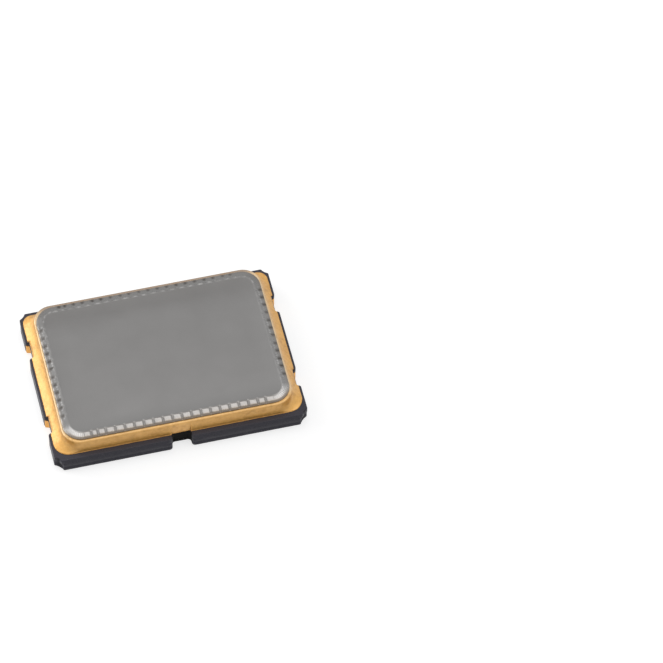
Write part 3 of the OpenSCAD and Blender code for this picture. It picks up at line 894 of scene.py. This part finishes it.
def weld_relief(x, y, inset):
    """Height added to the slope of the weld band, how deep in a pit the point is, and the slope's shift."""
    in_band = ramp(inset, 0.0, 0.03) * (1 - ramp(inset, WELD_W - 0.03, WELD_W + 0.01))
    found = weld_mark(x, y)
    if found is None:
        turn = math.atan2(abs(y) - LID_Y + LID_CORNER, abs(x) - LID_X + LID_CORNER)
        streak = math.sin(STREAKS * turn) * ramp(turn, 0.0, 0.3) * (y < 0)
        return in_band * STREAK_DEPTH * streak, 0.0, 0.0
    front, gap, shade, room = found
    groove = bell(gap, 0, FRONT_GROOVE_W if front else SIDE_GROOVE_W + 0.008 * shade)
    pillow = PILLOW * min(1.0, gap / PILLOW_REACH)
    if front:
        height = in_band * (pillow + 0.002 * shade - FRONT_GROOVE_DEPTH * groove)
        return height, 0.35 * groove * in_band, 0.0
    faded = ramp(room, 0.0, 0.16)
    scallop = SCALLOP * max(0.0, 1 - gap / SCALLOP_REACH) + 0.006 * shade * min(1.0, gap / 0.05)
    first = LEFT_PIT_START if on_left(x, y) else PIT_START
    in_pit = ramp(inset, first, first + PIT_FADE)
    in_pit *= 1 - ramp(inset, first + PIT_REACH + 0.02 * shade, first + PIT_END)
    height = in_band * (0.5 * pillow - SIDE_GROOVE_DEPTH * groove)
    height += ripple(x, y, 3.0, CRUMB_SIZE, CRUMB) * in_band - PIT_DEPTH * groove * in_pit
    return height * faded, (0.8 + 0.2 * shade) * groove * in_pit, scallop * faded


def painted_weld_glints(x, y, inset):
    """Painted glints: beside the short sides' pits, along the band's inner edge at the back, and at the
    lid's left edge.
    """
    inner = bell(inset, BACK_GLINTS_AT, GLINT_W)
    found = weld_mark(x, y)
    if found is None:
        return 0.0 if y < 0 else inner * max(0.0, min(0.9, 0.5 + ripple(x, y, 7.0, 0.1, 1.4)))
    front, gap, shade, _ = found
    if front:
        return 0.0
    if on_back(x, y):
        return 0.7 * inner * bell(gap, 0.13, 0.08) * (0.75 + 0.25 * shade)
    beside = bell(inset, SIDE_GLINTS_AT + 0.03 * shade, GLINT_W) * bell(gap, 0.09, 0.035)
    edge = 0.35 * (1 - ramp(inset, 0.02, 0.05)) if on_left(x, y) else 0.0
    return max(edge, beside * (0.55 + 0.45 * shade))


def straw_tint(y, inset):
    """The warm tint of the weld's heat: all over the front marks, strongest at the lid's edge."""
    edge = 1 - ramp(inset, 0.02, 0.1)
    front = ramp(-y, 1.75, 2.1) * (1 - ramp(inset, WELD_W - 0.02, WELD_W + 0.02))
    return front * (STRAW_MARKS + STRAW_FRONT_EDGE * edge) + (1 - front) * STRAW_EDGE * edge


def painted_back_shade(y):
    """Painted shade along the back of the lid: faint, and half as strong at its very back edge."""
    return BACK_SHADE * ramp(y, 1.1, 2.0) * (1 - 0.5 * ramp(y, 2.0, 2.1))


def top_at(x, y):
    """Height of the lid's low bow."""
    return LID_TOP - BOW_X * (x / LID_X) ** 2 - BOW_Y * (y / LID_Y) ** 2


def lid_wall(outer):
    """The lid's thin edge, as rings of points, each with its tints: only the straw tint, as the weld's
    painted highlight and the darkening are nil there.
    """
    rings = []
    for inset, height in ((0.03, 0.0), (0.012, 0.006), (0.002, 0.014), (0.0, LID_RIM - 0.022)):
        ring = level(grown(outer, -inset), LID_LOW + height)
        rings.append([(point, (0.0, 0.0, straw_tint(y, 0.0))) for point, (_, y) in zip(ring, outer)])
    return rings


def weld_point(x, y, inset):
    """A point of the weld band at that inset from the lid's edge, with its tints."""
    relief, pit, scallop = weld_relief(x, y, inset)
    slope = (LID_TOP - LID_LOW - LID_RIM) / WELD_W
    ledge = top_at(x, y) - 0.0022 * ramp(inset, WELD_W, WELD_W + 0.02)
    rolled = 0.003 + 0.015 * ramp(-y, LID_Y - LID_CORNER, LID_Y - 0.08)
    rolled *= (1 - ramp(inset, 0.0, 0.07)) ** 2
    plain = min(ledge, LID_LOW + LID_RIM - rolled + slope * (inset + scallop))
    in_band = 1 - ramp(inset, WELD_W - 0.02, WELD_W + 0.02)
    # Painted highlight and painted glints on the weld band; darker pits, or the painted shade along the back
    # where it is more
    weld = max(in_band * weld_shine(x, y), painted_weld_glints(x, y, inset))
    return (x, y, min(LID_TOP, plain + relief)), (weld, max(pit, painted_back_shade(y)), straw_tint(y, inset))


def weld_band(outer):
    """The sloping band that the weld has pressed, as rings of points with their tints."""
    insets = [0.004 + (WELD_W + 0.03) * k / BAND_STEPS for k in range(BAND_STEPS + 1)]
    return [[weld_point(x, y, inset) for x, y in grown(outer, -inset)] for inset in insets]


def lid_middle(outer):
    """The lid's middle inside the weld band, as rings of points with their tints."""
    inner = grown(outer, -WELD_W - 0.06)
    rings = []
    for share in MIDDLE_SHARES:
        ring = []
        for x, y in inner:
            height = top_at(x * share, y * share) - 0.004 * share**8
            ring.append(((x * share, y * share, height), (0.0, painted_back_shade(y * share), 0.0)))
        rings.append(ring)
    return rings


def lid():
    """Thin lid with a low bow, whose edge the seam weld has pressed into a row of overlapping marks."""
    outer = filled([rounded(LID_X, LID_Y, LID_CORNER, 40)], WELD_STEP)[0]
    rings = lid_wall(outer) + weld_band(outer) + lid_middle(outer)
    bm = bmesh.new()
    # Painted highlight on the weld; darker pits and painted shade at the back; the weld's straw tint
    layers = [bm.verts.layers.float.new(name) for name in ("weld", "pit_and_back_shade", "straw")]
    made = add_solid(bm, [[point for point, _ in ring] for ring in rings])
    for verts, ring in zip(made, rings):
        for vert, (_, tints) in zip(verts, ring):
            for layer, tint in zip(layers, tints):
                vert[layer] = tint
    return piece("lid_cover", bm, "lid", NICKEL, sharp=60)


# ---- Pieces sealed inside keep their CAD meshes ----


def finish_inner_pieces():
    """Gives the CAD nodes the finish of their material slot. Those that a piece replaces are hidden."""
    finishes = {
        "quartz": plain_material("quartz", (0.86, 0.89, 0.9), 0.25, size=0.02, depth=0.0006, alpha=0.45),
        "silver_film": plain_material("silver_film", (0.75, 0.75, 0.73), 0.25, metallic=1.0),
        "conductive_adhesive": plain_material(
            "conductive_adhesive", (0.33, 0.33, 0.31), 0.6, metallic=0.3, size=0.03, depth=0.004
        ),
        "gold_plate": plain_material("inner_gold", (0.72, 0.47, 0.19), 0.4, metallic=1.0),
        "silicon": plain_material("silicon", (0.1, 0.12, 0.15), 0.2, metallic=0.4),
        "aluminium_film": plain_material("aluminium_film", (0.78, 0.78, 0.78), 0.3, metallic=1.0),
        "gold_wire": plain_material("gold_wire", (0.85, 0.56, 0.2), 0.22, metallic=1.0),
    }
    slots = {row["node"]: row["material_slot"] for row in frame["record"]["subparts"]}
    for name, node in frame["nodes"].items():
        if slots[name] in finishes:
            node.data.materials.clear()
            node.data.materials.append(finishes[slots[name]])


# ---- Studio ----

AIM = (4.82, 0.33, 0)
AZIMUTH, ELEVATION, ROLL = math.radians(-14.46), math.radians(54.58), math.radians(0.99)
CAMERA_DISTANCE = 132.73
LENS, SENSOR = 261.98, 36
CLIP = (0.005, 20)

WORLD_LIGHT = 0.45
FLOOR_TONE = 0.45
FLOOR_LIFT = 0.7
FLOOR_HALF = 3.0
SOFTBOX_DISTANCE = 0.5
# Each softbox's direction, its size in metres and its radiance
KEY = ((-0.77, 0.54, 0.38), (0.45, 0.38), 2.7)
TOP = ((0.11, 0.125, 0.98), (0.43, 0.2), 2.2)


def camera():
    """Long lens, aimed to the right of the part, from in front, above and a little to its left."""
    back = Vector((
        math.sin(AZIMUTH) * math.cos(ELEVATION),
        -math.cos(AZIMUTH) * math.cos(ELEVATION),
        math.sin(ELEVATION),
    ))
    data = bpy.data.cameras.new("camera")
    data.sensor_width = SENSOR
    data.lens = LENS
    data.clip_start, data.clip_end = CLIP
    obj = bpy.data.objects.new("camera", data)
    obj.location = Vector(AIM) * MM + back * (CAMERA_DISTANCE * MM)
    obj.rotation_mode = "QUATERNION"
    turn = (-back).to_track_quat("-Z", "Y")
    obj.rotation_quaternion = turn @ Matrix.Rotation(ROLL, 3, "Z").to_quaternion()
    bpy.context.scene.collection.objects.link(obj)
    bpy.context.scene.camera = obj


def softbox(name, direction, size, radiance):
    """Rectangular area light which faces the part from a direction."""
    data = bpy.data.lights.new(name, "AREA")
    data.shape = "RECTANGLE"
    data.size, data.size_y = size
    data.energy = radiance * math.pi * size[0] * size[1]
    obj = bpy.data.objects.new(name, data)
    away = Vector(direction).normalized()
    obj.location = away * SOFTBOX_DISTANCE
    obj.rotation_mode = "QUATERNION"
    obj.rotation_quaternion = away.to_track_quat("Z", "Y")
    bpy.context.scene.collection.objects.link(obj)


def shows_background(nodes, links):
    """1 for the rays that see the background itself: from the camera, from metal and through glass."""
    path = nodes.new("ShaderNodeLightPath")
    total = path.outputs["Is Camera Ray"]
    for name in ("Is Glossy Ray", "Is Transmission Ray"):
        total = combine(nodes, links, "MAXIMUM", total, path.outputs[name])
    return total


def world():
    """Even white light from all round, which shows as full white where it is seen."""
    made = bpy.data.worlds.new("studio")
    made.use_nodes = True
    nodes, links = made.node_tree.nodes, made.node_tree.links
    background = nodes["Background"]
    background.inputs["Color"].default_value = (1, 1, 1, 1)
    strength = spread(nodes, links, shows_background(nodes, links), WORLD_LIGHT, 1.0, 0, 1)
    links.new(strength, background.inputs["Strength"])
    bpy.context.scene.world = made


def floor():
    """White table, a little self-lit to the rays that see it, so it shows white but keeps the shadow."""
    corners = ((-1, -1), (1, -1), (1, 1), (-1, 1))
    bm = bmesh.new()
    bm.faces.new([bm.verts.new((sx * FLOOR_HALF, sy * FLOOR_HALF, 0)) for sx, sy in corners])
    mesh = bpy.data.meshes.new("floor")
    bm.to_mesh(mesh)
    bm.free()
    obj = bpy.data.objects.new("floor", mesh)
    bpy.context.scene.collection.objects.link(obj)
    mat, nodes, links, shader = material("floor", (FLOOR_TONE,) * 3, 0.9, specular=0.0)
    shader.inputs["Emission Color"].default_value = (1, 1, 1, 1)
    lift = spread(nodes, links, shows_background(nodes, links), 0.0, FLOOR_LIFT, 0, 1)
    links.new(lift, shader.inputs["Emission Strength"])
    mesh.materials.append(mat)


ceramic_base()
for node_name, node_side in TERMINALS.items():
    terminal(node_name, node_side)
index_mark()
seal_metal()
braze_fillet()
seal_ring()
lid()
finish_inner_pieces()

camera()
world()
floor()
softbox("key", *KEY)
softbox("top", *TOP)
bpy.context.scene.view_settings.view_transform = "Standard"
